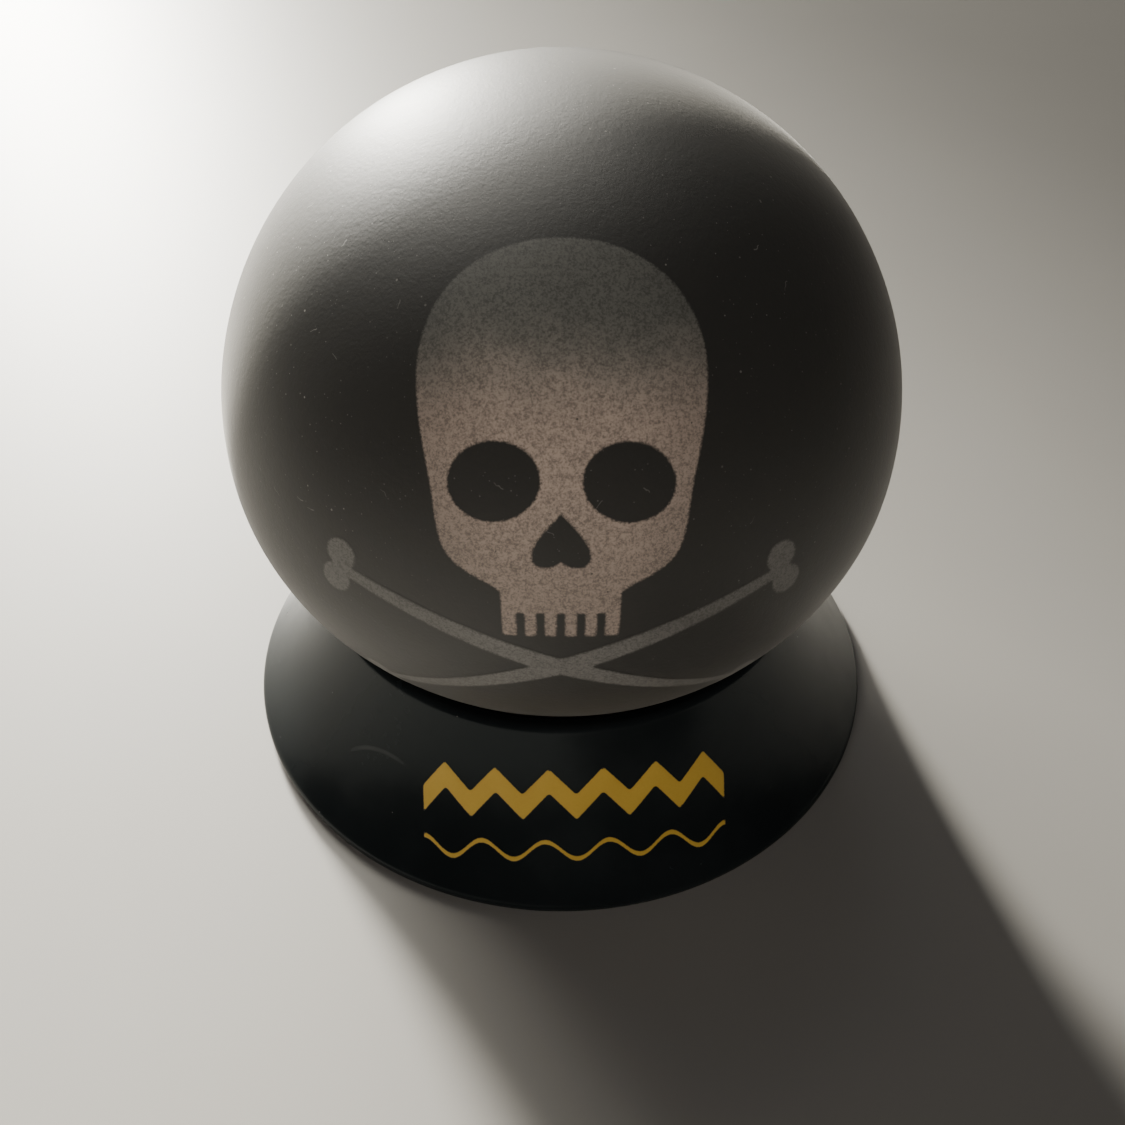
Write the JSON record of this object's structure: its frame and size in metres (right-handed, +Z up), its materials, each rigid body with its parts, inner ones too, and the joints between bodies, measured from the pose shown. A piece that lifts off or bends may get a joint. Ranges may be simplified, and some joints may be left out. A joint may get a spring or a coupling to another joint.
{
  "type": "stress ball",
  "caption": "Soft foam stress ball with a sprayed skull and crossed bones, resting in the cup of a flared hollow plastic stand printed with a zigzag and a wave.",
  "frame": {"origin": "middle of the stand's foot, on the surface it stands on", "axes": "+Z up through the middle of the ball, -Y towards the decorated front, +X to the viewer's right"},
  "size_m": [0.0752, 0.0752, 0.0746],
  "materials": {
    "stand_plastic": "satin",
    "label_ink": "satin",
    "foam": "matte",
    "soft_skin": "matte",
    "skull_paint": "matte",
    "faint_paint": "matte"
  },
  "bodies": {
    "stand": {"stand_shell": "stand_plastic", "label_zigzag": "label_ink", "label_wave": "label_ink"},
    "ball": {"foam_core": "foam"},
    "ball_surface": {"ball_skin": "soft_skin", "skull_paint": "skull_paint", "crossbones_paint": "faint_paint"}
  },
  "joints": [
    {"name": "ball_lift", "type": "slide", "parent": "stand", "child": "ball", "axis": [0, 0, 1], "range_m": [0, 0.08]},
    {"name": "ball_squeeze", "type": "slide", "parent": "ball", "child": "ball_surface", "axis": [0, 0, -1], "range_m": [0, 0.02], "stiffness_N_per_m": 1500, "deforming": ["ball_skin", "skull_paint", "crossbones_paint", "foam_core"]}
  ]
}
